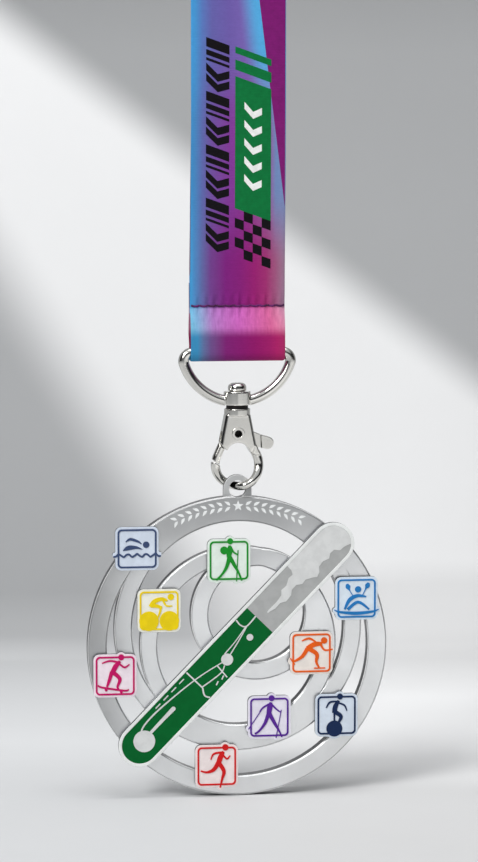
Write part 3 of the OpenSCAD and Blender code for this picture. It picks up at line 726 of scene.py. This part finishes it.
def stitchTree(mat):
    tree = bpy.data.node_groups.new("rowOfStitches", "GeometryNodeTree")
    face = tree.interface
    face.new_socket("Geometry", in_out="INPUT", socket_type="NodeSocketGeometry")
    face.new_socket("Geometry", in_out="OUTPUT", socket_type="NodeSocketGeometry")
    face.new_socket("Stitches", in_out="INPUT", socket_type="NodeSocketInt")
    for label in ("Pitch", "Stitch length", "Thread radius", "Rise", "Height", "Sag", "Stand-off"):
        face.new_socket(label, in_out="INPUT", socket_type="NodeSocketFloat")
    source = tree.nodes.new("NodeGroupInput")
    sink = tree.nodes.new("NodeGroupOutput")
    value = {s.name: s for s in source.outputs}
    count, pitch = value["Stitches"], value["Pitch"]
    span = calc(tree, "MULTIPLY", calc(tree, "SUBTRACT", count, 1.0), pitch)
    begin = calc(tree, "MULTIPLY", span, -0.5)
    ends = calc(tree, "MULTIPLY", value["Stitch length"], 0.5)
    before = calc(tree, "MULTIPLY", ends, -1.0)
    first = node(tree, "ShaderNodeCombineXYZ", {0: before, 1: value["Rise"]}).outputs[0]
    last = node(tree, "ShaderNodeCombineXYZ", {0: ends, 1: value["Rise"]}).outputs[0]
    top = node(tree, "ShaderNodeCombineXYZ", {1: calc(tree, "MULTIPLY", value["Rise"], -1.0),
                                              2: calc(tree, "MULTIPLY", value["Sag"], -1.0)}).outputs[0]
    along = {"Resolution": 8, "Start": first, "Middle": top, "End": last}
    bow = node(tree, "GeometryNodeCurveQuadraticBezier", along)
    ring = node(tree, "GeometryNodeCurvePrimitiveCircle", {"Resolution": 8, "Radius": value["Thread radius"]})
    wrapped = {0: bow.outputs[0], 1: ring.outputs[0], "Fill Caps": True}
    one = node(tree, "GeometryNodeCurveToMesh", wrapped).outputs[0]
    sides = []
    for sign in (-1.0, 1.0):
        depth = calc(tree, "MULTIPLY", value["Stand-off"], sign)
        origin = node(tree, "ShaderNodeCombineXYZ", {0: begin, 1: depth, 2: value["Height"]}).outputs[0]
        step = node(tree, "ShaderNodeCombineXYZ", {0: pitch}).outputs[0]
        line = node(tree, "GeometryNodeMeshLine", {"Count": count, "Start Location": origin, "Offset": step})
        turn = (0.0, 0.0, 0.0) if sign < 0 else (0.0, 0.0, math.pi)
        row = {"Points": line.outputs[0], "Instance": one, "Rotation": turn}
        sides.append(node(tree, "GeometryNodeInstanceOnPoints", row).outputs[0])
    joined = tree.nodes.new("GeometryNodeJoinGeometry")
    for s in sides:
        tree.links.new(s, joined.inputs[0])
    real = node(tree, "GeometryNodeRealizeInstances", {0: joined.outputs[0]}).outputs[0]
    painted = node(tree, "GeometryNodeSetMaterial", {"Geometry": real, "Material": mat}).outputs[0]
    tree.links.new(painted, sink.inputs[0])
    return tree


# runs a node tree on an empty mesh and keeps the result as a plain mesh
def grow(name, tree, values):
    obj = newObject(name, bpy.data.meshes.new(name))
    mod = obj.modifiers.new("grow", "NODES")
    mod.node_group = tree
    for item in tree.interface.items_tree:
        if item.item_type == "SOCKET" and item.in_out == "INPUT" and item.name in values:
            mod[item.identifier] = values[item.name]
    obj.update_tag()
    bpy.context.view_layer.update()
    bake(obj)
    obj.data.shade_smooth()
    return obj


seamStitches = grow("seamStitches", stitchTree(threadLook), {
    "Stitches": seam["count"], "Pitch": seam["pitch"] * mm, "Stitch length": seam["length"] * mm,
    "Thread radius": seam["thread"] * mm, "Rise": seam["rise"] * mm, "Sag": seam["sag"] * mm,
    "Height": at(ribbon["seam"] + seam["above"]), "Stand-off": seam["standOff"] * mm,
})
wear(seamStitches, threadLook, "ribbon", ["seam_thread"], "sewing_thread")
print("stitches made", len(seamStitches.data.polygons))

# the D-ring, the swivel and the clasp

hardware = {
    "ringVoxel": 0.15, "claspVoxel": 0.12, "leverVoxel": 0.1, "softening": 6,
    "pinHeight": 56.6, "boreRadius": 1.02, "boreReach": 2.62,
    "groove": (63.05, 64.3), "grooveReach": 3.25,
}

ringLoop = cast("ringLoop", "d_ring", hardware["ringVoxel"], hardware["softening"], keep=0.5)
wear(ringLoop, brightNickel, "ring", ["d_ring"], "bright_nickel")

swivelRivet = lathe("swivelRivet", [
    (0, 60.7), (1.5, 60.7), (1.5, 67.76), (2.2, 67.78), (2.42, 68.0), (2.45, 68.4), (2.4, 69.0),
    (2.15, 69.5), (1.7, 69.8), (1.0, 69.94), (0, 69.97)], 56)
wear(swivelRivet, brightNickel, "clasp", ["swivel_rivet"], "bright_nickel")

claspBody = cast("claspBody", "clasp_body", hardware["claspVoxel"], hardware["softening"], keep=0.6)
wear(claspBody, brightNickel, "clasp", ["clasp_body"], "bright_nickel")

pivotPin = rounded("pivotPin", "pivot_pin", 0.12)
wear(pivotPin, brightNickel, "clasp", ["pivot_pin"], "bright_nickel")
setLook("lever_spring", springSteel)


# paints shade on the faces that the test picks: they sit in a bore or groove where shadow falls; the test is
# given a face centre in mm with the height above the medal's centre
def darken(obj, test):
    obj.data.materials.append(paintedBoreShade)
    for face in obj.data.polygons:
        x, y, z = face.center
        if test(x / mm, y / mm, z / mm + drop):
            face.material_index = 1


def inBore(x, y, h):
    away = math.hypot(x, h - hardware["pinHeight"])
    return away < hardware["boreRadius"] and abs(y) < hardware["boreReach"]


def inGroove(x, y, h):
    low, high = hardware["groove"]
    return math.hypot(x, y) < hardware["grooveReach"] and low < h < high


# the pin inside the bore and the groove under the swivel are painted dark: painted shade
darken(pivotPin, inBore)
darken(claspBody, inGroove)

gateLever = cast("gateLever", "gate_lever", hardware["leverVoxel"], hardware["softening"], keep=0.6)
wear(gateLever, brightNickel, "lever", ["gate_lever"], "bright_nickel")
print("hardware made", [len(o.data.polygons) for o in (ringLoop, claspBody, gateLever)])

# the medal

medal = {"ringEdge": 0.4, "barEdge": 0.14, "badgeEdge": 0.12}  # widths of the rounded edges, mm


# gives the walls a dark look of their own, which is painted shade, and the rounded edges, if asked, a whiter
# one, which is a painted highlight
def sideLooks(obj, wall, edge=None):
    obj.data.materials.append(wall)
    if edge:
        obj.data.materials.append(edge)
    for face in obj.data.polygons:
        turned = abs(face.normal.y)
        if turned < 0.3:
            face.material_index = 1
        elif edge and turned < 0.97:
            face.material_index = 2


medalRings = rounded("medalRings", "medal_rings", medal["ringEdge"], segments=4)
wear(medalRings, satinSilver, "medal", ["medal_rings"], "satin_silver")
sideLooks(medalRings, shadedSilverWall, highlightSilverEdge)
barPlate = rounded("barPlate", "bar_plate", medal["barEdge"])
wear(barPlate, whiteEnamel, "medal", ["bar_plate"], "white_enamel")
sideLooks(barPlate, badgeWall)
setLook("top_arc_ornament", whitePrint)
setLook("bar_green_enamel", greenEnamel)
setLook("bar_grey_enamel", greyEnamel)
setLook("bar_light_enamel", paleEnamel)
for sport, (inkColour, plateColour) in badgeLooks.items():
    words = sport.split("_")
    tag = words[0].capitalize() + "".join(w.capitalize() for w in words[1:])
    plate = rounded("badge" + tag, "badge_" + sport, medal["badgeEdge"])
    wear(plate, lacquer("plate" + tag, plateColour), "medal", ["badge_" + sport], "badge_white")
    sideLooks(plate, badgeWall)
    setLook("print_" + sport, lacquer("ink" + tag, inkColour, gloss=0.2))
print("medal made", len(medalRings.data.polygons))

# floor, light and camera

studio = {
    "floor": -0.2222, "wall": 0.24, "bend": 0.02,
    # the floor in front is out of view: its grey left and near-white right are painted light for the metal to
    # reflect
    "nearLeft": (196, 197, 198), "nearRight": (252, 252, 252),  # tones of the floor in front
    "sunStrength": 1.4, "keyPower": 2.0, "topPower": 1.7, "world": 0.64,
}
view = {"azimuth": -8.0, "elevation": 5.65, "distance": 0.9, "target": (0.0005, 0.0, -0.1249), "tall": 0.2276}
a, e = math.radians(view["azimuth"]), math.radians(view["elevation"])
away = Vector((math.sin(a) * math.cos(e), -math.cos(a) * math.cos(e), math.sin(e)))
viewPoint = Vector(view["target"]) + away * view["distance"]
rightward = Vector((math.cos(a), math.sin(a), 0))
upward = away.cross(rightward)

profile = [(-3.0, 0.0), (studio["wall"] - studio["bend"], 0.0)]
for i in range(1, 9):
    t = math.pi / 2 * i / 8
    profile.append((studio["wall"] - studio["bend"] * (1 - math.sin(t)), studio["bend"] * (1 - math.cos(t))))
profile.append((studio["wall"], 1.6))
verts = [(x, y, studio["floor"] + z) for x in (-2.0, 2.0) for y, z in profile]
n = len(profile)
faces = [(k, k + n, k + n + 1, k + 1) for k in range(n - 1)]
backdrop = meshFrom("backdrop", verts, faces)
shade(backdrop)


# pale paper with a soft slanting patch of light and painted shade around it, and a painted brighter patch on
# the floor in front for the metal to reflect; it can be looked through from behind
def backdropPaper():
    mat, tree, shader = newMaterial("backdropPaper")
    coords = plainCoords(tree)
    shift = {0: coords, 1: tuple(-c for c in viewPoint)}
    offset = node(tree, "ShaderNodeVectorMath", shift, operation="ADD").outputs[0]
    depth = calc(tree, "MAXIMUM", dotted(tree, offset, -away), 0.2)
    reach = view["distance"] * 1000
    x = calc(tree, "MULTIPLY", calc(tree, "DIVIDE", dotted(tree, offset, rightward), depth), reach)
    z = calc(tree, "MULTIPLY", calc(tree, "DIVIDE", dotted(tree, offset, upward), depth), reach)
    over = calc(tree, "ADD", calc(tree, "MULTIPLY_ADD", x, 0.77, -61.2), z)
    under = calc(tree, "SUBTRACT", calc(tree, "MULTIPLY_ADD", x, -1.58, -56.8), z)
    lit = calc(tree, "MULTIPLY", ease(tree, over, 9.0, -9.0), ease(tree, under, 22.0, -22.0))
    place = calc(tree, "MULTIPLY_ADD", z, 1 / 240, 0.5)
    shadeTone = ramp(tree, place, [((k + 120) / 240, (t, t + 1, t + 2)) for k, t in (
        (-120, 206), (-95, 208), (-82, 218), (-70, 205), (-60, 192), (-54, 168), (-44, 172), (0, 173),
        (60, 170), (100, 165), (116, 156))])
    litTone = ramp(tree, place, [((k + 120) / 240, (t, t, t)) for k, t in (
        (-120, 206), (-95, 209), (-84, 234), (-70, 236), (-60, 208), (-55, 205), (-48, 214), (-34, 238),
        (0, 236), (60, 237), (100, 240))])
    side = blendColour(tree, ease(tree, z, -50.0, -62.0), lit, ease(tree, x, -30.0, 30.0))
    floorTone = blendColour(tree, side, shadeTone, litTone)
    # the floor in front of the medal is painted brighter, grey on the left and near-white on the right:
    # painted light that the medal reflects
    ground = node(tree, "ShaderNodeSeparateXYZ", {0: coords})
    near = ease(tree, ground.outputs[1], -0.10, -0.14)
    sideways = ease(tree, ground.outputs[0], -0.12, 0.12)
    nearLightPatch = blendColour(tree, sideways, linear(studio["nearLeft"]), linear(studio["nearRight"]))
    floorTone = blendColour(tree, near, floorTone, nearLightPatch)
    tooth = noise(tree, coords, 40.0, 3.0)
    gain = calc(tree, "MULTIPLY_ADD", tooth, 0.03, 0.985)
    floorTone = blendColour(tree, 1.0, floorTone, grey(tree, gain), "MULTIPLY")
    tree.links.new(floorTone, shader.inputs["Base Color"])
    shader.inputs["Roughness"].default_value = 0.95
    shader.inputs["Specular IOR Level"].default_value = 0.1
    clear = node(tree, "ShaderNodeBsdfTransparent")
    behind = node(tree, "ShaderNodeNewGeometry").outputs["Backfacing"]
    pick = node(tree, "ShaderNodeMixShader", {0: behind, 1: shader.outputs[0], 2: clear.outputs[0]})
    out = next(k for k in tree.nodes if k.type == "OUTPUT_MATERIAL")
    tree.links.new(pick.outputs[0], out.inputs[0])
    return mat


backdrop.data.materials.append(backdropPaper())


def aimed(obj, target):
    obj.rotation_mode = "QUATERNION"
    obj.rotation_quaternion = (Vector(target) - obj.location).to_track_quat("-Z", "Y")


def areaLight(name, where, target, size, power):
    data = bpy.data.lights.new(name, "AREA")
    data.shape = "RECTANGLE"
    data.size, data.size_y = size
    data.energy = power
    obj = newObject(name, data)
    obj.location = where
    aimed(obj, target)


middleOf = (0, 0, -0.14)
areaLight("keyLight", (-0.45, -0.6, 0.30), middleOf, (0.35, 0.45), studio["keyPower"])
areaLight("topLight", (0.05, -0.1, 0.5), middleOf, (0.5, 0.3), studio["topPower"])
sunData = bpy.data.lights.new("roomLight", "SUN")
sunData.energy = studio["sunStrength"]
sunData.angle = math.radians(20)
roomLight = newObject("roomLight", sunData)
roomLight.location = (-0.8, -0.75, 0.95)
aimed(roomLight, (0, 0, 0))

world = bpy.data.worlds.new("softRoom")
world.use_nodes = True
scene.world = world
room = world.node_tree
back = room.nodes["Background"]
toward = node(room, "ShaderNodeSeparateXYZ", {0: node(room, "ShaderNodeTexCoord").outputs["Generated"]})
sky = ramp(room, calc(room, "MULTIPLY_ADD", toward.outputs[2], 0.5, 0.5), [
    (0.0, (120, 122, 126)), (0.47, (150, 152, 156)), (0.53, (150, 152, 156)), (0.57, (34, 34, 36)),
    (0.68, (40, 40, 42)), (0.74, (226, 230, 234)), (1.0, (250, 252, 255))])
sides = ease(room, calc(room, "ABSOLUTE", toward.outputs[0]), 0.55, 0.9)
sky = blendColour(room, sides, sky, linear((44, 45, 48)))
room.links.new(sky, back.inputs[0])
back.inputs[1].default_value = studio["world"]

camData = bpy.data.cameras.new("camera")
camData.sensor_width = 36
camData.lens = 36 * view["distance"] / view["tall"]
cam = newObject("camera", camData)
cam.location = viewPoint
aimed(cam, view["target"])
camData.clip_start, camData.clip_end = 0.05, 10
scene.camera = cam
scene.view_settings.view_transform = "Standard"
